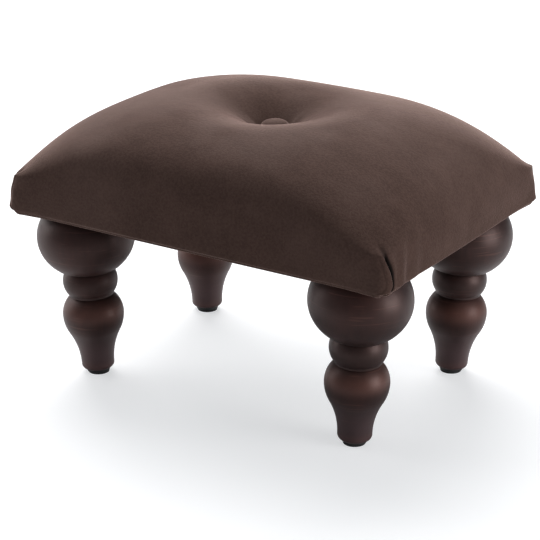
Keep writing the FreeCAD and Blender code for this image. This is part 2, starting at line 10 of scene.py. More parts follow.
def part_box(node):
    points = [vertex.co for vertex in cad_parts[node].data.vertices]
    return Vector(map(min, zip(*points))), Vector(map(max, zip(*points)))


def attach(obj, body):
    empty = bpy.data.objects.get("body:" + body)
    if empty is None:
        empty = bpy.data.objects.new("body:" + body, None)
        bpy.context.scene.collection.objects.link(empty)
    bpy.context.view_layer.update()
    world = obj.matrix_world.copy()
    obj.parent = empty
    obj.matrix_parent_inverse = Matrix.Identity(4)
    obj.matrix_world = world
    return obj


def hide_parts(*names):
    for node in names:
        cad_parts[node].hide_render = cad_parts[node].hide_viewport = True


bl_info = {
    "name": "Upholstered footstool",
    "version": (1, 0, 0),
    "blender": (4, 5, 0),
    "location": "View3D > Sidebar > Footstool",
    "description": "Upholsters, buttons and finishes a turned-leg footstool around its frame",
    "category": "Object",
}

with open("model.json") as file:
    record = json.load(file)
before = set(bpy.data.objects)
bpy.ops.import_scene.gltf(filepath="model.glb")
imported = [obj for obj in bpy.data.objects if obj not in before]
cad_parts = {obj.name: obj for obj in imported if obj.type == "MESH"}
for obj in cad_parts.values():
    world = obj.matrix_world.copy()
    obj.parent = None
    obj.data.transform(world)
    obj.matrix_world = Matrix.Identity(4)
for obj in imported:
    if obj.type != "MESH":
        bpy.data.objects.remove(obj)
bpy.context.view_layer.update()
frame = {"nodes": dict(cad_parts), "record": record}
ROOT = "root"
CORNERS = ("front_left", "front_right", "back_right", "back_left")

cover_low, cover_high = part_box("fabric_cover")
deck_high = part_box("deck_panel")[1]
button_low, button_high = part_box("button_cover")
dust_low, dust_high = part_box("dust_cover")


# Sizes and colours that a user would change

class FootstoolCover(bpy.types.PropertyGroup):
    cloth: FloatVectorProperty(
        name="Cloth", description="Colour of the suede cloth seen square on",
        subtype="COLOR", size=3, min=0, max=1, default=(0.056, 0.0325, 0.0262))
    brushed: FloatVectorProperty(
        name="Brushed nap", description="Colour of the cloth where its nap is brushed up",
        subtype="COLOR", size=3, min=0, max=1, default=(0.092, 0.055, 0.045))
    sheen: FloatVectorProperty(
        name="Sheen", description="Colour of the soft light along the nap",
        subtype="COLOR", size=3, min=0, max=1, default=(0.74, 0.53, 0.47))
    # Painted shade: this colour is mixed into the cloth where the pleat grooves lie in shadow
    fold: FloatVectorProperty(
        name="Fold", description="Colour deep in the corner pleats",
        subtype="COLOR", size=3, min=0, max=1, default=(0.004, 0.0025, 0.0022))
    crown_rise: FloatProperty(
        name="Crown rise", description="Top of the crown above the cushion's lower edge",
        subtype="DISTANCE", unit="LENGTH", default=0.096)
    dish_radius: FloatProperty(
        name="Dish radius", description="Radius of the hollow that the button pulls into the crown",
        subtype="DISTANCE", unit="LENGTH", default=0.087)
    dish_depth: FloatProperty(
        name="Dish depth", description="Depth of that hollow under the button",
        subtype="DISTANCE", unit="LENGTH", default=0.030)
    gathers: IntProperty(
        name="Gathers", description="Folds that run out from the button", default=11)
    gather_depth: FloatProperty(
        name="Gather depth", description="Depth of those folds beside the button",
        subtype="DISTANCE", unit="LENGTH", default=0.0007)
    pleat_height: FloatProperty(
        name="Pleat height", description="Height of the corner pleats above the lower edge",
        subtype="DISTANCE", unit="LENGTH", default=0.041)
    pleat_thickness: FloatProperty(
        name="Pleat thickness", description="How far the folded cloth stands over the cloth beside it",
        subtype="DISTANCE", unit="LENGTH", default=0.0026)


class FootstoolLegs(bpy.types.PropertyGroup):
    stain_dark: FloatVectorProperty(
        name="Dark stain", description="Colour of the stain in the grain",
        subtype="COLOR", size=3, min=0, max=1, default=(0.0085, 0.0042, 0.0042))
    stain_light: FloatVectorProperty(
        name="Light stain", description="Colour of the stain between the grain",
        subtype="COLOR", size=3, min=0, max=1, default=(0.029, 0.0100, 0.0080))
    # Also used for the lighter band at the vase shoulder and foot edge, which is partly a painted highlight
    rub_and_highlight: FloatVectorProperty(
        name="Rubbed stain", description="Colour where the stain is rubbed through",
        subtype="COLOR", size=3, min=0, max=1, default=(0.125, 0.052, 0.038))


class FootstoolStage(bpy.types.PropertyGroup):
    key_power: FloatProperty(
        name="Top light", description="Power of the large light over the stool", default=58.0)
    side_power: FloatProperty(
        name="Side lights", description="Power that both lights beside it take a share of", default=23.0)
    floor_white: FloatProperty(
        name="Floor white", description="How white the floor looks to the camera",
        min=0, max=1, default=0.585)


# Meshes

def finish_mesh(name, bm, material, slot, *replaced):
    """Makes a shaded piece of a bmesh, riding on the stool's one body."""
    bmesh.ops.recalc_face_normals(bm, faces=bm.faces)
    for face in bm.faces:
        face.smooth = True
    mesh = bpy.data.meshes.new(name)
    bm.to_mesh(mesh)
    bm.free()
    piece = bpy.data.objects.new(name, mesh)
    bpy.context.scene.collection.objects.link(piece)
    piece.data.materials.append(material)
    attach(piece, ROOT)
    if replaced:
        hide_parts(*replaced)
    return piece


def subdivide(piece):
    modifier = piece.modifiers.new("Smooth", "SUBSURF")
    modifier.levels = 1
    modifier.render_levels = 1


def ease(value):
    """0 below 0 and 1 above 1, with a smooth turn between."""
    value = min(max(value, 0.0), 1.0)
    return value * value * (3 - 2 * value)


def bump(value, middle, width):
    return math.exp(-((value - middle) / width) ** 2)


# The cushion's level lines

EDGE_CORNER = 0.009
EDGE_BOW = 0.0006
SWELL_BOW = 0.0018
CROWN_BOW = 0.015
CROWN_CORNER_SHARE = 0.93
CROWN_CORNER_POWER = 0.71
END_FULLNESS, END_TURN = 2.2, 0.325
SIDE_FULLNESS, SIDE_TURN = 4.34, 0.473
SWELL_X, SWELL_Y, SWELL_HEIGHT = 0.0045, 0.0025, 0.006
CROWN_START = 0.017


class LevelLine:
    """A quarter of a level line on three tangent arcs, from the middle of the front to the middle
    of the right side. A place on it is its run past the middle of the corner."""

    def __init__(self, half_x, half_y, corner, bow):
        front = (half_x ** 2 + bow ** 2) / (2 * bow)
        side = (half_y ** 2 + bow ** 2) / (2 * bow)
        front_centre = Vector((0, front - half_y))
        side_centre = Vector((half_x - side, 0))
        between = side_centre - front_centre
        reach = front - corner
        along = (reach ** 2 - (side - corner) ** 2 + between.length ** 2) / (2 * between.length)
        across = math.sqrt(max(reach ** 2 - along ** 2, 0))
        unit = between.normalized()
        middle = front_centre + unit * along + Vector((-unit.y, unit.x)) * across
        if middle.x < 0 or middle.y > 0:
            middle = front_centre + unit * along - Vector((-unit.y, unit.x)) * across
        front_turn = math.atan2(middle.y - front_centre.y, middle.x - front_centre.x)
        side_turn = math.atan2(middle.y - side_centre.y, middle.x - side_centre.x)
        self.arcs = ((front_centre, front, -math.pi / 2, front_turn),
                     (middle, corner, front_turn, side_turn),
                     (side_centre, side, side_turn, 0.0))
        lengths = [radius * (end - start) for _, radius, start, end in self.arcs]
        self.start = -lengths[0] - lengths[1] / 2
        self.end = lengths[1] / 2 + lengths[2]

    def at(self, run):
        """The point there and the direction that faces out of the cushion."""
        left = run - self.start
        for centre, radius, start, end in self.arcs:
            angle = start + left / radius
            if angle <= end or end == 0.0:
                break
            left -= radius * (end - start)
        outward = Vector((math.cos(angle), math.sin(angle)))
        return centre + outward * radius, outward


class Level:
    """One row of the cushion: its line, its height above the lower edge, how far it faces down, and
    how much of the corner pleats it has."""

    def __init__(self, line, height, down=0.0, folded=1.0):
        self.line = line
        self.height = height
        self.down = down
        self.folded = folded


class Cushion:
    """The cushion's rows, from its sizes and the cover's box."""

    def __init__(self, sizes):
        self.sizes = sizes
        self.base = cover_low.z
        self.full_x = cover_high.x
        self.full_y = cover_high.y

    def wall(self, height, drawn_in=0.0, lift=None, down=0.0, folded=1.0):
        swell = 1 - (1 - min(height / SWELL_HEIGHT, 1)) ** 2
        half_x = self.full_x - SWELL_X * (1 - swell) - drawn_in
        half_y = self.full_y - SWELL_Y * (1 - swell) - drawn_in
        bow = EDGE_BOW + (SWELL_BOW - EDGE_BOW) * swell
        line = LevelLine(half_x, half_y, max(EDGE_CORNER - drawn_in, 0.002), bow)
        return Level(line, height if lift is None else lift, down, folded)

    def crown(self, share):
        height = CROWN_START + share * (self.sizes.crown_rise - CROWN_START)
        half_x = self.full_x * (1 - share ** END_FULLNESS) ** END_TURN
        half_y = self.full_y * (1 - share ** SIDE_FULLNESS) ** SIDE_TURN
        deck = deck_high.z - self.base
        above = max(height - deck, 0) / (self.sizes.crown_rise - deck)
        corner = EDGE_CORNER + (CROWN_CORNER_SHARE * half_y - EDGE_CORNER) * above ** CROWN_CORNER_POWER
        bow = SWELL_BOW + (CROWN_BOW - SWELL_BOW) * above
        return Level(LevelLine(half_x, half_y, corner, bow), height)

    def cap(self, outer, share, closeness):
        """A ring inside the last level line: closeness is 1 on that line and 0 at the middle."""
        ring = []
        across = closeness * (1 - share ** END_FULLNESS) ** END_TURN
        along = closeness * (1 - share ** SIDE_FULLNESS) ** SIDE_TURN
        rise_x = (1 - across ** (1 / END_TURN)) ** (1 / END_FULLNESS)
        rise_y = (1 - along ** (1 / SIDE_TURN)) ** (1 / SIDE_FULLNESS)
        for place in outer:
            length = math.hypot(place.x / self.full_x, place.y / self.full_y)
            facing = (place.x / self.full_x / length) ** 2
            rise = rise_x * facing + rise_y * (1 - facing)
            height = CROWN_START + rise * (self.sizes.crown_rise - CROWN_START)
            ring.append(Vector((place.x * closeness, place.y * closeness, self.base + height)))
        return ring


# The corner pleats. At the front corners the long side's cloth is laid over the short side, and at the
# back corners the short side's cloth over the back, with the folded edge near the corner.
# FOLD goes across that edge in metres: along the side when smoothed out, along it when folded, and out.

FOLD = (
    (-0.0050, -0.0050, 0.0005), (-0.0040, -0.0032, 0.0010), (-0.0030, -0.0018, 0.0013),
    (-0.0020, -0.0008, 0.0012), (-0.0012, -0.0002, 0.0007), (-0.0004, 0.0000, 0.0000),
    (0.0004, -0.0002, -0.0012), (0.0012, 0.0000, -0.0029), (0.0020, 0.0011, -0.0031),
    (0.0028, 0.0024, -0.0026), (0.0036, 0.0035, -0.0017), (0.0046, 0.0046, -0.0010),
    (0.0056, 0.0056, -0.0005), (0.0080, 0.0078, -0.0001),
)
# FOLD_SHADE: how much painted shade, in the fold colour, each FOLD column gets, most in the groove past the
# folded edge
FOLD_SHADE = (0, 0, 0, 0, 0.3, 0.75, 1, 1, 1, 1, 1, 0.9, 0.3, 0)
LONG_COLUMNS = 26
SHORT_COLUMNS = 22
QUARTER = LONG_COLUMNS + len(FOLD) + SHORT_COLUMNS - 2
COLUMNS = 4 * QUARTER
LONG_CROWDING = 1.9
SHORT_CROWDING = 1.7
FOLD_RUN = 0.0063
FOLD_SHOULDER = 0.011
FOLD_TOP = 0.038
FOLD_LEAN = 0.0142
FOLD_TUCK = 0.0075
DRAW_IN = 0.0028
DRAW_LEVEL, DRAW_HEIGHT, DRAW_WIDTH = 0.030, 0.0095, 0.010
FLARE, FLARE_WIDTH, FLARE_HEIGHT = 0.0014, 0.022, 0.0085
DROOP, DROOP_TOP = 0.0006, 0.005
CORNER_MIDDLE = 0.001
FRAME_GAP = 0.0005
FULL_THICKNESS = 0.0026
FOLD_FADE = 0.013
HEM_FADE, HEM_SHARE = 0.0045, 0.2
TUCK_END, TUCK_POWER, LEAN_POWER = 0.002, 2.2, 1.6
STREAK_TOP, STREAK_FADE, STREAK_LEAN = 0.050, 0.034, 0.10
STREAKS = ((0.0080, 0.0034, -0.0008), (0.0150, 0.0040, 0.0009), (0.0240, 0.0044, -0.0010),
           (0.0340, 0.0048, 0.0007), (0.0450, 0.0052, -0.0006))


def fold_run(height):
    """Where the folded edge lies: it leans over the corner above and rounds off to it below."""
    if height > FOLD_SHOULDER:
        share = (min(height, FOLD_TOP) - FOLD_SHOULDER) / FOLD_TOP
        return FOLD_RUN - FOLD_LEAN * share ** LEAN_POWER
    share = (FOLD_SHOULDER - max(height, TUCK_END)) / (FOLD_SHOULDER - TUCK_END)
    return FOLD_RUN - FOLD_TUCK * share ** TUCK_POWER


def corner_push(run, height):
    """How far the cloth of a corner stands out or is drawn in, beside the fold itself."""
    push = FLARE * bump(run, 0, FLARE_WIDTH) * bump(height, CORNER_MIDDLE, FLARE_HEIGHT)
    push -= DRAW_IN * bump(run, CORNER_MIDDLE, DRAW_WIDTH) * bump(height, DRAW_LEVEL, DRAW_HEIGHT)
    fade = ease((STREAK_TOP - height) / STREAK_FADE)
    for place, width, depth in STREAKS:
        lean = STREAK_LEAN * max(height - FOLD_SHOULDER, 0)
        push += depth * bump(run - FOLD_RUN, place + lean, width) * fade
    return push


def clear_of_frame(place, height):
    """Keeps the cloth off the corner of the wooden frame that it is drawn over."""
    past_x = abs(place.x) - deck_high.x - FRAME_GAP
    past_y = abs(place.y) - deck_high.y - FRAME_GAP
    if height < ROLL or place.z > deck_high.z + FRAME_GAP or max(past_x, past_y) > 0:
        return place
    if past_x > past_y:
        return Vector((math.copysign(deck_high.x + FRAME_GAP, place.x), place.y, place.z))
    return Vector((place.x, math.copysign(deck_high.y + FRAME_GAP, place.y), place.z))


def quarter_places(level, form, over_back):
    """The points of one row over one quarter, with how much painted shade each gets in the pleat groove.
    Over the back the fold is on the other side of the corner, on the long side."""
    line, height = level.line, level.height
    first, last = (-line.end, -line.start) if over_back else (line.start, line.end)
    fold = fold_run(height)
    amount = ease((form.sizes.pleat_height - height) / FOLD_FADE) * level.folded
    amount *= HEM_SHARE + (1 - HEM_SHARE) * ease(height / HEM_FADE)
    depth = form.sizes.pleat_thickness / FULL_THICKNESS
    places = []
    runs = []
    for step in range(LONG_COLUMNS):
        left = (1 - step / LONG_COLUMNS) ** LONG_CROWDING
        runs.append((fold + FOLD[0][0] - (fold + FOLD[0][0] - first) * left, 0.0, 0.0))
    for (flat, folded, out), shade in zip(FOLD, FOLD_SHADE):
        runs.append((fold + flat + (folded - flat) * amount, out * amount * depth, shade * amount))
    for step in range(1, SHORT_COLUMNS):
        share = (step / (SHORT_COLUMNS - 1)) ** SHORT_CROWDING
        runs.append((fold + FOLD[-1][0] + (last - fold - FOLD[-1][0]) * share, 0.0, 0.0))
    for run, out, shade in runs:
        point, outward = line.at(-run if over_back else run)
        push = out * math.sqrt(1 - level.down ** 2) + corner_push(run, height) * level.folded
        droop = DROOP * bump(run, 0, FLARE_WIDTH) * ease(1 - height / DROOP_TOP) * level.folded
        place = Vector((point.x + outward.x * push, point.y + outward.y * push,
                        form.base + height - out * level.down - droop))
        places.append((clear_of_frame(place, height), shade))
    return places[::-1] if over_back else places


def whole_row(level, form):
    """The front quarter and the back quarter, each mirrored to its other corner."""
    front = quarter_places(level, form, False)
    back = quarter_places(level, form, True)
    row = []
    for turn, (sign_x, sign_y) in enumerate(((1, 1), (1, -1), (-1, -1), (-1, 1))):
        quarter = front if sign_y == 1 else back
        for step in range(QUARTER):
            place, shade = quarter[step] if turn % 2 == 0 else quarter[QUARTER - step]
            row.append((Vector((sign_x * place.x, sign_y * place.y, place.z)), shade))
    return row


# Rows of the cushion, from the middle of its underside to the middle of its top

RETURN_DEPTH = 0.028
RETURN_STEP = 0.001
ROLL = 0.0024
ROLL_ROWS = 5
WALL_ROWS = 10
LOW_CROWN_ROWS = 20
LOW_CROWN_SHARE = 0.32
HIGH_CROWN_ROWS = 22
CAP_SHARE = 0.955
CAP_ROWS = 30
PIT_RADIUS = 0.0128
UNDER_CLOSENESS = 0.08
RETURN_ROWS = ((RETURN_DEPTH, 0.0), (0.018, 0.0), (0.009, 0.3), (0.005, 0.7))
CROWN_CROWDING = 1.5


def cushion_levels(form):
    levels = [form.wall(0, RETURN_DEPTH + RETURN_STEP, RETURN_STEP, 1.0, 0.0)]
    levels += [form.wall(0, drawn_in, 0.0, 1.0, folded)
               for drawn_in, folded in RETURN_ROWS]
    for step in range(ROLL_ROWS + 1):
        turn = math.pi / 2 * step / ROLL_ROWS
        drawn_in = ROLL * (1 - math.sin(turn))
        lift = ROLL * (1 - math.cos(turn))
        levels.append(form.wall(0, drawn_in, lift, math.cos(turn)))
    levels += [form.wall(ROLL + (CROWN_START - ROLL) * step / WALL_ROWS) for step in range(1, WALL_ROWS)]
    levels += [form.crown(LOW_CROWN_SHARE * step / LOW_CROWN_ROWS) for step in range(LOW_CROWN_ROWS)]
    for step in range(HIGH_CROWN_ROWS + 1):
        left = (1 - step / HIGH_CROWN_ROWS) ** CROWN_CROWDING
        levels.append(form.crown(CAP_SHARE - (CAP_SHARE - LOW_CROWN_SHARE) * left))
    return levels


def cushion_rows(form):
    rows = [whole_row(level, form) for level in cushion_levels(form)]
    outer = [place for place, _ in rows[-1]]
    for step in range(1, CAP_ROWS + 1):
        closeness = 1 - (1 - UNDER_CLOSENESS) * step / CAP_ROWS
        ring = form.cap(outer, CAP_SHARE, closeness)
        round_off = ease((1 - closeness) / (1 - UNDER_CLOSENESS))
        radius = sum(place.xy.length for place in ring) / COLUMNS
        for column, place in enumerate(ring):
            scale = 1 + (radius / place.xy.length - 1) * round_off
            angle = math.atan2(place.y, place.x)
            even = 2 * math.pi * (column / COLUMNS) - math.pi / 2
            turn = math.remainder(even - angle, 2 * math.pi) * round_off ** 3
            spot = place.xy * scale
            spot.rotate(Matrix.Rotation(turn, 2))
            place.xy = spot
        rows.append([(place, 0.0) for place in ring])
    middle = sum((place for place, _ in rows[-1]), Vector()) / COLUMNS
    rows.append([(middle, 0.0)] * COLUMNS)
    under = Vector((0, 0, form.base + RETURN_STEP))
    return [[(under, 0.0)] * COLUMNS] + rows


# What the button does to the crown: a wide hollow, and gathers that run out from it

GATHER_REACH = 0.014
GATHER_WANDER = 2.4


def hollow(distance, sizes):
    if distance >= sizes.dish_radius:
        return 0.0
    run = sizes.dish_radius - PIT_RADIUS
    radius = (run ** 2 + sizes.dish_depth ** 2) / (2 * sizes.dish_depth)
    reach = min(sizes.dish_radius - distance, run)
    return radius - math.sqrt(radius ** 2 - reach ** 2)


def gather(x, y, distance, sizes):
    """Shallow folds that run out from the button, uneven in depth and length."""
    if distance < 1e-6 or distance > sizes.dish_radius:
        return 0.0
    angle = math.atan2(y, x)
    wander = noise.noise(Vector((math.cos(angle) * 1.7, math.sin(angle) * 1.7, 3.1)))
    fold = math.cos(sizes.gathers * angle + GATHER_WANDER * wander)
    strength = 0.6 + 0.9 * noise.noise(Vector((math.cos(angle) * 2.3, math.sin(angle) * 2.3, 8.4)))
    fade = bump(distance, PIT_RADIUS, GATHER_REACH)
    return sizes.gather_depth * fold * strength * fade


WAVE = 0.0004
WAVE_SCALE = 14
WAVE_SEED = 7
WAVE_START = 0.02


def settle(place, form):
    """Moves one point by the hollow, the gathers and the slight unevenness of stuffed cloth."""
    height = place.z - form.base
    moved = place.copy()
    if height > ROLL:
        wave = WAVE * ease(height / WAVE_START)
        moved += noise.noise_vector(place * WAVE_SCALE) * wave
    if height > form.sizes.crown_rise / 2:
        distance = place.xy.length
        moved.z -= hollow(distance, form.sizes) - gather(place.x, place.y, distance, form.sizes)
    return moved


def make_cushion(sizes, material):
    form = Cushion(sizes)
    rows = cushion_rows(form)
    count = len(rows) - 1
    noise.seed_set(WAVE_SEED)
    bm = bmesh.new()
    bmesh.ops.create_grid(bm, x_segments=COLUMNS, y_segments=count, size=0.5)
    shade_layer = bm.verts.layers.float.new("fold_shade")
    for vert in bm.verts:
        column = round((vert.co.x + 0.5) * COLUMNS) % COLUMNS
        row = round((vert.co.y + 0.5) * count)
        place, shade = rows[row][column]
        vert.co = settle(place, form)
        vert[shade_layer] = shade
    bmesh.ops.remove_doubles(bm, verts=bm.verts, dist=1e-7)
    piece = finish_mesh("seat_cushion", bm, material, "cover_fabric",
                        "fabric_cover", "wadding", "foam_block")
    subdivide(piece)
    return piece


# The covered button

# The dome stands this much over the button's frame, and its profile goes from the middle of the
# underside to the middle of the top, in shares of its radius and height.
BUTTON_DOME = 0.003
BUTTON_PROFILE = (
    (0.0, 0.12), (0.55, 0.10), (0.86, 0.0), (0.95, 0.05), (0.995, 0.20), (1.0, 0.38),
    (0.97, 0.56), (0.88, 0.74), (0.72, 0.87), (0.50, 0.955), (0.25, 0.99), (0.0, 1.0),
)
BUTTON_STEPS = 96
TUCK_DEPTH, TUCKS, TUCK_WANDER = 0.018, 19, 3


def make_button(material):
    bm = bmesh.new()
    radius = button_high.x
    low = button_low.z
    height = button_high.z - low + BUTTON_DOME
    verts = [bm.verts.new((share * radius, 0, low + rise * height)) for share, rise in BUTTON_PROFILE]
    edges = [bm.edges.new(pair) for pair in zip(verts, verts[1:])]
    bmesh.ops.spin(bm, geom=verts + edges, cent=(0, 0, 0), axis=(0, 0, 1), angle=2 * math.pi,
                   steps=BUTTON_STEPS, use_merge=True)
    bmesh.ops.remove_doubles(bm, verts=bm.verts, dist=1e-6)
    for vert in bm.verts:
        reach = math.hypot(vert.co.x, vert.co.y) / radius
        rise = (vert.co.z - low) / height
        angle = math.atan2(vert.co.y, vert.co.x)
        tuck = ease((reach - 0.75) / 0.25) * (1 - ease(rise / 0.65))
        wrinkle = 1 + math.cos(TUCKS * angle + math.sin(TUCK_WANDER * angle))
        drawn = 1 - TUCK_DEPTH * tuck * wrinkle
        vert.co.x *= drawn
        vert.co.y *= drawn
    piece = finish_mesh("button_cloth", bm, material, "cover_fabric", "button_cover")
    subdivide(piece)
    return piece


# The dust cover: a sheet pulled flat under the seat, its edges turned in

HEM, HEM_WIDTH = 0.011, 0.0012
HEM_SINK = 0.00025
SHEET_SAG = 0.0012
HELD_RIM, SAG_RUN = 0.03, 0.05
PULL, PULL_RIM, STAPLE_PITCH = 0.0006, 0.02, 0.045
SHEET_FACES = (132, 96)


def make_dust_cover(material):
    bm = bmesh.new()
    half_x, half_y = dust_high.x, dust_high.y
    across, along = SHEET_FACES
    bmesh.ops.create_grid(bm, x_segments=across, y_segments=along, size=1.0)
    for vert in bm.verts:
        u, v = vert.co.x, vert.co.y
        x, y = u * half_x, v * half_y
        inside = min(half_x - abs(x), half_y - abs(y))
        z = dust_low.z + (dust_high.z - dust_low.z) / 2
        open_span = ease((inside - HELD_RIM) / SAG_RUN)
        z -= SHEET_SAG * open_span * (0.7 + 0.6 * noise.noise(Vector((x * 14, y * 14, 2.0))))
        z -= HEM_SINK * bump(inside, HEM, HEM_WIDTH)
        pull = PULL * math.cos(x * 2 * math.pi / STAPLE_PITCH) * ease((PULL_RIM - inside) / PULL_RIM)
        if abs(y) > half_y - PULL_RIM:
            y -= math.copysign(pull, y)
        vert.co = Vector((x, y, z))
    piece = finish_mesh("dust_cover_cloth", bm, material, "dust_cloth", "dust_cover")
    thick = piece.modifiers.new("Cloth thickness", "SOLIDIFY")
    thick.thickness = dust_high.z - dust_low.z
    thick.offset = 0
    return piece


# Shader tools

def new_material(name):
    material = bpy.data.materials.new(name)
    material.use_nodes = True
    tree = material.node_tree
    return material, tree, tree.nodes["Principled BSDF"]


def add(tree, kind, inputs=None, **values):
    node = tree.nodes.new(kind)
    for key, value in values.items():
        setattr(node, key, value)
    for key, value in (inputs or {}).items():
        if isinstance(value, bpy.types.NodeSocket):
            tree.links.new(value, node.inputs[key])
        else:
            node.inputs[key].default_value = value
    return node


def math_of(tree, operation, first, second=0.0):
    return add(tree, "ShaderNodeMath", {0: first, 1: second}, operation=operation).outputs[0]


def ramp(tree, value, low, high, start=0.0, end=1.0):
    inputs = {"Value": value, "From Min": low, "From Max": high, "To Min": start, "To Max": end}
    return add(tree, "ShaderNodeMapRange", inputs, interpolation_type="SMOOTHSTEP").outputs["Result"]


def mix_colour(tree, share, first, second):
    node = add(tree, "ShaderNodeMix", data_type="RGBA")
    for socket, value in ((node.inputs[0], share), (node.inputs[6], first), (node.inputs[7], second)):
        if isinstance(value, bpy.types.NodeSocket):
            tree.links.new(value, socket)
        else:
            socket.default_value = value
    return node.outputs[2]


def new_group(name, inputs, outputs):
    tree = bpy.data.node_groups.new(name, "ShaderNodeTree")
    for label, kind in inputs:
        tree.interface.new_socket(label, in_out="INPUT", socket_type=kind)
    for label, kind in outputs:
        tree.interface.new_socket(label, in_out="OUTPUT", socket_type=kind)
    return tree, tree.nodes.new("NodeGroupInput"), tree.nodes.new("NodeGroupOutput")


def place_group(tree, group, inputs):
    node = tree.nodes.new("ShaderNodeGroup")
    node.node_tree = group
    for label, value in inputs.items():
        node.inputs[label].default_value = value
    return node


def noise_of(tree, vector, scale, detail=3.0, roughness=0.5):
    inputs = {"Vector": vector, "Scale": scale, "Detail": detail, "Roughness": roughness}
    return add(tree, "ShaderNodeTexNoise", inputs).outputs["Fac"]


def stretched(tree, vector, scale):
    return add(tree, "ShaderNodeMapping", {"Vector": vector, "Scale": scale}).outputs["Vector"]


def opaque(colour):
    return (*colour, 1.0)


# Effects

def suede_group():
    """Short nap: soft brushed patches, a mottled grain and a few paler fibre ends."""
    tree, inside, outside = new_group(
        "Suede nap", (("Cloth", "NodeSocketColor"), ("Brushed", "NodeSocketColor")),
        (("Colour", "NodeSocketColor"), ("Roughness", "NodeSocketFloat"), ("Height", "NodeSocketFloat")))
    place = tree.nodes.new("ShaderNodeTexCoord").outputs["Object"]
    patches = ramp(tree, noise_of(tree, place, 13, 4, 0.55), 0.36, 0.66)
    brushing = ramp(tree, noise_of(tree, stretched(tree, place, (34, 70, 46)), 1, 3), 0.35, 0.7)
    grain = noise_of(tree, place, 1100, 2)
    mottle = ramp(tree, noise_of(tree, place, 520, 2, 0.7), 0.34, 0.66)
    nap = math_of(tree, "ADD", math_of(tree, "MULTIPLY", patches, 0.30),
                  math_of(tree, "MULTIPLY", brushing, 0.25))
    share = math_of(tree, "ADD", nap, math_of(tree, "MULTIPLY", mottle, 0.45))
    toned = mix_colour(tree, share, inside.outputs["Cloth"], inside.outputs["Brushed"])
    ends = math_of(tree, "MULTIPLY", ramp(tree, grain, 0.62, 0.74), 0.30)
    flecked = mix_colour(tree, ends, toned, (0.13, 0.085, 0.072, 1))
    tree.links.new(flecked, outside.inputs["Colour"])
    tree.links.new(ramp(tree, patches, 0, 1, 0.98, 0.86), outside.inputs["Roughness"])
    tree.links.new(math_of(tree, "ADD", grain, math_of(tree, "MULTIPLY", mottle, 0.6)),
                   outside.inputs["Height"])
    return tree


# Heights on the leg, and half the width of the band that fades out from each
VASE_SHOULDER = (0.062, 0.013)
FOOT_EDGE = (0.009, 0.006)
ANKLE = (0.018, 0.034)
LOWER_GROOVE = (0.0744, 0.0030)
UPPER_GROOVE = (0.0968, 0.0030)
RING = (0.0856, 0.013)
# Painted reflection of the white floor on the ankle
ANKLE_REFLECTION_COLOUR = (0.062, 0.042, 0.045, 1)
# Painted shade for each groove and for the ring under the ball
NECK_SHADE_COLOUR = (0.004, 0.003, 0.003, 1)


def turned_wood_group():
    """Stained, lathe-turned wood: long grain, fine tool rings, rubbed marks, a lighter band at the vase
    shoulder and foot edge that is partly rubbed stain and partly painted highlight, painted shade in each
    groove and on the ring under the ball, and a painted reflection of the white floor on the ankle."""
    tree, inside, outside = new_group(
        "Turned wood", (("Dark", "NodeSocketColor"), ("Light", "NodeSocketColor"),
                        ("Rub and highlight", "NodeSocketColor")),
        (("Colour", "NodeSocketColor"), ("Roughness", "NodeSocketFloat"), ("Height", "NodeSocketFloat")))
    place = tree.nodes.new("ShaderNodeTexCoord").outputs["Object"]
    height = add(tree, "ShaderNodeSeparateXYZ", {0: place}).outputs["Z"]
    grain = ramp(tree, noise_of(tree, stretched(tree, place, (150, 150, 9)), 1, 5, 0.6), 0.34, 0.68)
    cloud = ramp(tree, noise_of(tree, stretched(tree, place, (24, 24, 15)), 1, 3), 0.38, 0.68)
    pores = ramp(tree, noise_of(tree, stretched(tree, place, (900, 900, 46)), 1, 2), 0.60, 0.72)
    rings = noise_of(tree, stretched(tree, place, (2, 2, 900)), 1, 2)
    marks = ramp(tree, noise_of(tree, stretched(tree, place, (22, 22, 640)), 1, 2), 0.62, 0.70)
    tone = math_of(tree, "ADD", math_of(tree, "MULTIPLY", grain, 0.35),
                   math_of(tree, "MULTIPLY", cloud, 0.6))
    stained = mix_colour(tree, tone, inside.outputs["Dark"], inside.outputs["Light"])
    rubbed = mix_colour(tree, math_of(tree, "MULTIPLY", marks, 0.30), stained, inside.outputs["Rub and highlight"])
    # A lighter band at the vase shoulder and the foot edge: partly rubbed stain, partly a painted highlight
    rubbed_highlight_band = math_of(tree, "ADD", belt(tree, height, *VASE_SHOULDER), belt(tree, height, *FOOT_EDGE))
    with_rubbed_highlight = mix_colour(tree, math_of(tree, "MULTIPLY", rubbed_highlight_band, 0.50), rubbed, inside.outputs["Rub and highlight"])
    # Painted shade in each groove beside the ring
    groove_shade = math_of(tree, "ADD", belt(tree, height, *LOWER_GROOVE), belt(tree, height, *UPPER_GROOVE))
    # A greyish band on the ankle: a painted reflection of the white floor
    ankle_reflection = math_of(tree, "MULTIPLY", belt(tree, height, *ANKLE), 0.85)
    with_ankle_reflection = mix_colour(tree, ankle_reflection, with_rubbed_highlight, ANKLE_REFLECTION_COLOUR)
    # Painted shade: each groove and the ring under the ball are darkened towards near black
    neck_shade = math_of(tree, "ADD", math_of(tree, "MULTIPLY", groove_shade, 0.85),
                   math_of(tree, "MULTIPLY", belt(tree, height, *RING), 0.60))
    shaded = mix_colour(tree, neck_shade, with_ankle_reflection, NECK_SHADE_COLOUR)
    tree.links.new(shaded, outside.inputs["Colour"])
    tree.links.new(ramp(tree, math_of(tree, "ADD", cloud, pores), 0, 1.6, 0.47, 0.60),
                   outside.inputs["Roughness"])
    relief = math_of(tree, "SUBTRACT", math_of(tree, "MULTIPLY", rings, 0.5),
                     math_of(tree, "MULTIPLY", pores, 0.6))
    tree.links.new(relief, outside.inputs["Height"])
    return tree


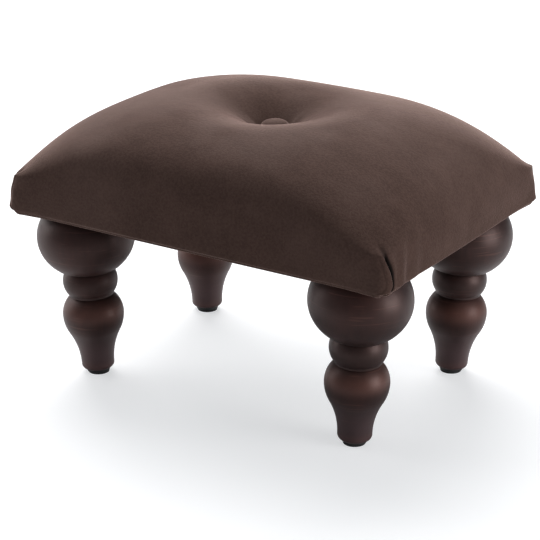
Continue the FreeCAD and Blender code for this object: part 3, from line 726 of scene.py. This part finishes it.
def belt(tree, height, middle, half_width):
    """1 at one height, fading to 0 a half width above and below it."""
    away = math_of(tree, "ABSOLUTE", math_of(tree, "SUBTRACT", height, middle))
    return ramp(tree, away, 0.0, half_width, 1.0, 0.0)


def speckled_group():
    """Fine unevenness of a moulded, cast or woven surface, with a little dust or rubbing."""
    tree, inside, outside = new_group(
        "Fine unevenness", (("Base", "NodeSocketColor"), ("Marks", "NodeSocketColor"),
                            ("Grain", "NodeSocketFloat")),
        (("Colour", "NodeSocketColor"), ("Height", "NodeSocketFloat")))
    place = tree.nodes.new("ShaderNodeTexCoord").outputs["Object"]
    fine = tree.nodes.new("ShaderNodeTexNoise")
    tree.links.new(place, fine.inputs["Vector"])
    tree.links.new(inside.outputs["Grain"], fine.inputs["Scale"])
    patches = ramp(tree, noise_of(tree, place, 60, 4), 0.45, 0.75)
    share = math_of(tree, "ADD", math_of(tree, "MULTIPLY", patches, 0.5),
                    math_of(tree, "MULTIPLY", fine.outputs["Fac"], 0.25))
    tree.links.new(mix_colour(tree, share, inside.outputs["Base"], inside.outputs["Marks"]),
                   outside.inputs["Colour"])
    tree.links.new(fine.outputs["Fac"], outside.inputs["Height"])
    return tree


def connect(tree, group, shader, strength, distance):
    tree.links.new(group.outputs["Colour"], shader.inputs["Base Color"])
    if "Roughness" in group.outputs:
        tree.links.new(group.outputs["Roughness"], shader.inputs["Roughness"])
    relief = add(tree, "ShaderNodeBump", {"Strength": strength, "Distance": distance,
                                          "Height": group.outputs["Height"]})
    tree.links.new(relief.outputs["Normal"], shader.inputs["Normal"])


# Materials

def suede(sizes):
    """Brown suede cloth, with near-black painted shade in the pleat groove where the cloth folds under."""
    material, tree, shader = new_material("Brown suede cloth")
    colours = {"Cloth": opaque(sizes.cloth), "Brushed": opaque(sizes.brushed)}
    group = place_group(tree, suede_group(), colours)
    connect(tree, group, shader, 0.35, 0.0004)
    # Painted shade: the fold_shade attribute mixes the near-black fold colour into the cloth in the pleat
    # groove
    fold = add(tree, "ShaderNodeAttribute", attribute_name="fold_shade").outputs["Fac"]
    colour = mix_colour(tree, fold, group.outputs["Colour"], opaque(sizes.fold))
    tree.links.new(colour, shader.inputs["Base Color"])
    shader.inputs["Specular IOR Level"].default_value = 0.10
    shader.inputs["Sheen Weight"].default_value = 0.90
    shader.inputs["Sheen Roughness"].default_value = 0.28
    shader.inputs["Sheen Tint"].default_value = opaque(sizes.sheen)
    return material


def stained_wood(sizes):
    material, tree, shader = new_material("Mahogany stained wood")
    colours = {"Dark": opaque(sizes.stain_dark), "Light": opaque(sizes.stain_light),
               "Rub and highlight": opaque(sizes.rub_and_highlight)}
    connect(tree, place_group(tree, turned_wood_group(), colours), shader, 0.22, 0.0002)
    shader.inputs["Specular Tint"].default_value = (1.0, 0.62, 0.56, 1)
    shader.inputs["Coat Weight"].default_value = 0.14
    shader.inputs["Coat Roughness"].default_value = 0.34
    return material


def plain_finish(name, group, base, marks, grain, roughness, metallic=0.0, strength=0.2):
    material, tree, shader = new_material(name)
    node = place_group(tree, group, {"Base": opaque(base), "Marks": opaque(marks), "Grain": grain})
    connect(tree, node, shader, strength, 0.0002)
    shader.inputs["Roughness"].default_value = roughness
    shader.inputs["Metallic"].default_value = metallic
    return material


def woven_dust_cloth():
    """Thin black pressed cloth with a fine dimpled grid."""
    material, tree, shader = new_material("Black dust cloth")
    place = tree.nodes.new("ShaderNodeTexCoord").outputs["Object"]
    dimples = add(tree, "ShaderNodeTexVoronoi", {"Vector": place, "Scale": 620.0})
    lint = ramp(tree, noise_of(tree, place, 420, 3), 0.58, 0.78)
    colour = mix_colour(tree, math_of(tree, "MULTIPLY", lint, 0.5), (0.011, 0.011, 0.012, 1),
                        (0.034, 0.034, 0.036, 1))
    tree.links.new(colour, shader.inputs["Base Color"])
    relief = add(tree, "ShaderNodeBump", {"Strength": 0.5, "Distance": 0.0003,
                                          "Height": dimples.outputs["Distance"]})
    tree.links.new(relief.outputs["Normal"], shader.inputs["Normal"])
    shader.inputs["Roughness"].default_value = 0.86
    return material


def paint(node_name, material):
    for slot in frame["nodes"][node_name].material_slots:
        slot.material = material


# Operators: one for each piece or group of like pieces

class FOOTSTOOL_OT_cushion(bpy.types.Operator):
    """Build the buttoned cushion with its pleated corners, and its covered button"""
    bl_idname = "footstool.cushion"
    bl_label = "Upholster the seat"

    def execute(self, context):
        sizes = context.scene.footstool_cover
        cloth = suede(sizes)
        make_cushion(sizes, cloth)
        make_button(cloth)
        return {"FINISHED"}


class FOOTSTOOL_OT_dust_cover(bpy.types.Operator):
    """Stretch the black dust cover under the seat"""
    bl_idname = "footstool.dust_cover"
    bl_label = "Fit the dust cover"

    def execute(self, context):
        make_dust_cover(woven_dust_cloth())
        return {"FINISHED"}


class FOOTSTOOL_OT_legs(bpy.types.Operator):
    """Stain and polish the four turned legs"""
    bl_idname = "footstool.legs"
    bl_label = "Finish the legs"

    def execute(self, context):
        wood = stained_wood(context.scene.footstool_legs)
        for corner in CORNERS:
            paint(f"leg_{corner}", wood)
        return {"FINISHED"}


class FOOTSTOOL_OT_fittings(bpy.types.Operator):
    """Finish the glides, the fastenings and the hidden frame"""
    bl_idname = "footstool.fittings"
    bl_label = "Finish the fittings"

    def execute(self, context):
        group = speckled_group()
        plastic = plain_finish("Black moulded plastic", group, (0.014, 0.014, 0.014), (0.05, 0.05, 0.05),
                               900, 0.45)
        steel = plain_finish("Zinc plated steel", group, (0.56, 0.57, 0.58), (0.36, 0.36, 0.35),
                             700, 0.36, 1.0)
        alloy = plain_finish("Pressed aluminium", group, (0.74, 0.74, 0.75), (0.55, 0.55, 0.56),
                             800, 0.32, 1.0)
        pine = plain_finish("Sawn pine", group, (0.52, 0.36, 0.20), (0.38, 0.24, 0.12), 240, 0.72)
        board = plain_finish("Birch plywood", group, (0.46, 0.31, 0.17), (0.34, 0.21, 0.11), 300, 0.70)
        cord = plain_finish("Waxed tufting twine", group, (0.60, 0.54, 0.42), (0.42, 0.36, 0.26), 1500, 0.8)
        finishes = {"glide_plastic": plastic, "zinc_steel": steel, "staple_steel": steel,
                    "button_metal": alloy, "frame_wood": pine, "plywood": board, "twine": cord}
        for part in frame["record"]["subparts"]:
            if part["material_slot"] in finishes:
                paint(part["node"], finishes[part["material_slot"]])
        return {"FINISHED"}


# The stage

LENS = 121.29
SENSOR = 36.0
EYE = (0.7836, -1.2254, 0.6603)
LOOK = (-0.50428, 0.78358, -0.36290)
ROLL_DEGREES = -0.05
FLOOR_SIZE = 14.0
LEFT_SHARE = 0.62
RIGHT_SHARE = 0.70
# Each light: where it stands, where it points, and its width
TOP_LIGHT = ((-0.75, 0.85, 1.55), (0, 0, 0.1), 1.7)
LEFT_LIGHT = ((-1.9, -0.3, 0.8), (0, 0, 0.12), 1.5)
RIGHT_LIGHT = ((1.7, 0.18, 0.40), (0, 0, 0.12), 0.9)
ROOM_LIGHT = 0.23


def add_area_light(name, place, target, size, power):
    lamp = bpy.data.lights.new(name, "AREA")
    lamp.shape = "SQUARE"
    lamp.size = size
    lamp.energy = power
    holder = bpy.data.objects.new(name, lamp)
    holder.location = place
    holder.rotation_euler = (Vector(target) - Vector(place)).to_track_quat("-Z", "Y").to_euler()
    bpy.context.scene.collection.objects.link(holder)


def floor_material(white):
    """White paper that keeps the stool's shadow, and looks white to the camera."""
    material = bpy.data.materials.new("White floor")
    material.use_nodes = True
    tree = material.node_tree
    tree.nodes.clear()
    out = tree.nodes.new("ShaderNodeOutputMaterial")
    seen = tree.nodes.new("ShaderNodeLightPath").outputs["Is Camera Ray"]
    paper = add(tree, "ShaderNodeBsdfDiffuse", {"Color": (0.75, 0.75, 0.76, 1)})
    shown = add(tree, "ShaderNodeBsdfDiffuse", {"Color": (0.55, 0.55, 0.555, 1)})
    glow = add(tree, "ShaderNodeEmission", {"Color": (0.97, 0.985, 1, 1), "Strength": white})
    lit = add(tree, "ShaderNodeAddShader", {0: shown.outputs[0], 1: glow.outputs[0]})
    both = add(tree, "ShaderNodeMixShader", {0: seen, 1: paper.outputs[0], 2: lit.outputs[0]})
    tree.links.new(both.outputs[0], out.inputs["Surface"])
    return material


def white_world(strength):
    world = bpy.data.worlds.new("Soft room")
    bpy.context.scene.world = world
    world.use_nodes = True
    tree = world.node_tree
    tree.nodes.clear()
    out = tree.nodes.new("ShaderNodeOutputWorld")
    path = tree.nodes.new("ShaderNodeLightPath")
    room = add(tree, "ShaderNodeBackground", {"Color": (0.92, 0.95, 1, 1), "Strength": strength})
    white = add(tree, "ShaderNodeBackground", {"Color": (1, 1, 1, 1), "Strength": 1.0})
    both = add(tree, "ShaderNodeMixShader", {0: path.outputs["Is Camera Ray"], 1: room.outputs[0],
                                             2: white.outputs[0]})
    tree.links.new(both.outputs[0], out.inputs["Surface"])


def add_camera():
    lens = bpy.data.cameras.new("Photo camera")
    lens.sensor_width = SENSOR
    lens.lens = LENS
    lens.clip_end = 50
    camera = bpy.data.objects.new("Photo camera", lens)
    turn = Vector(LOOK).to_track_quat("-Z", "Y").to_matrix().to_4x4()
    roll = Matrix.Rotation(math.radians(ROLL_DEGREES), 4, "Z")
    camera.matrix_world = Matrix.Translation(EYE) @ turn @ roll
    bpy.context.scene.collection.objects.link(camera)
    bpy.context.scene.camera = camera


class FOOTSTOOL_OT_stage(bpy.types.Operator):
    """Set up the pale floor, the soft lights and the camera"""
    bl_idname = "footstool.stage"
    bl_label = "Set up the stage"

    def execute(self, context):
        sizes = context.scene.footstool_stage
        bm = bmesh.new()
        bmesh.ops.create_grid(bm, x_segments=4, y_segments=4, size=FLOOR_SIZE / 2)
        mesh = bpy.data.meshes.new("floor")
        bm.to_mesh(mesh)
        bm.free()
        floor = bpy.data.objects.new("floor", mesh)
        floor.data.materials.append(floor_material(sizes.floor_white))
        context.scene.collection.objects.link(floor)
        add_area_light("Top light", *TOP_LIGHT, sizes.key_power)
        add_area_light("Left light", *LEFT_LIGHT, LEFT_SHARE * sizes.side_power)
        add_area_light("Right light", *RIGHT_LIGHT, RIGHT_SHARE * sizes.side_power)
        white_world(ROOM_LIGHT)
        add_camera()
        context.scene.view_settings.view_transform = "Standard"
        return {"FINISHED"}


class FOOTSTOOL_PT_panel(bpy.types.Panel):
    """Lists the steps that make the footstool"""
    bl_idname = "FOOTSTOOL_PT_panel"
    bl_label = "Footstool"
    bl_space_type = "VIEW_3D"
    bl_region_type = "UI"
    bl_category = "Footstool"

    def draw(self, context):
        for step in STEPS:
            self.layout.operator(step.bl_idname)
        for group in ("footstool_cover", "footstool_legs", "footstool_stage"):
            values = getattr(context.scene, group)
            for name in values.bl_rna.properties.keys():
                if name not in ("name", "rna_type"):
                    self.layout.prop(values, name)


STEPS = (FOOTSTOOL_OT_stage, FOOTSTOOL_OT_cushion, FOOTSTOOL_OT_dust_cover, FOOTSTOOL_OT_legs,
         FOOTSTOOL_OT_fittings)
GROUPS = {"footstool_cover": FootstoolCover, "footstool_legs": FootstoolLegs,
          "footstool_stage": FootstoolStage}


def register():
    for group in GROUPS.values():
        bpy.utils.register_class(group)
    for step in (*STEPS, FOOTSTOOL_PT_panel):
        bpy.utils.register_class(step)
    for name, group in GROUPS.items():
        setattr(bpy.types.Scene, name, PointerProperty(type=group))


def unregister():
    for name in GROUPS:
        delattr(bpy.types.Scene, name)
    for step in (FOOTSTOOL_PT_panel, *reversed(STEPS)):
        bpy.utils.unregister_class(step)
    for group in GROUPS.values():
        bpy.utils.unregister_class(group)


def main():
    register()
    bpy.ops.footstool.stage()
    bpy.ops.footstool.cushion()
    bpy.ops.footstool.dust_cover()
    bpy.ops.footstool.legs()
    bpy.ops.footstool.fittings()


if __name__ == "__main__":
    main()
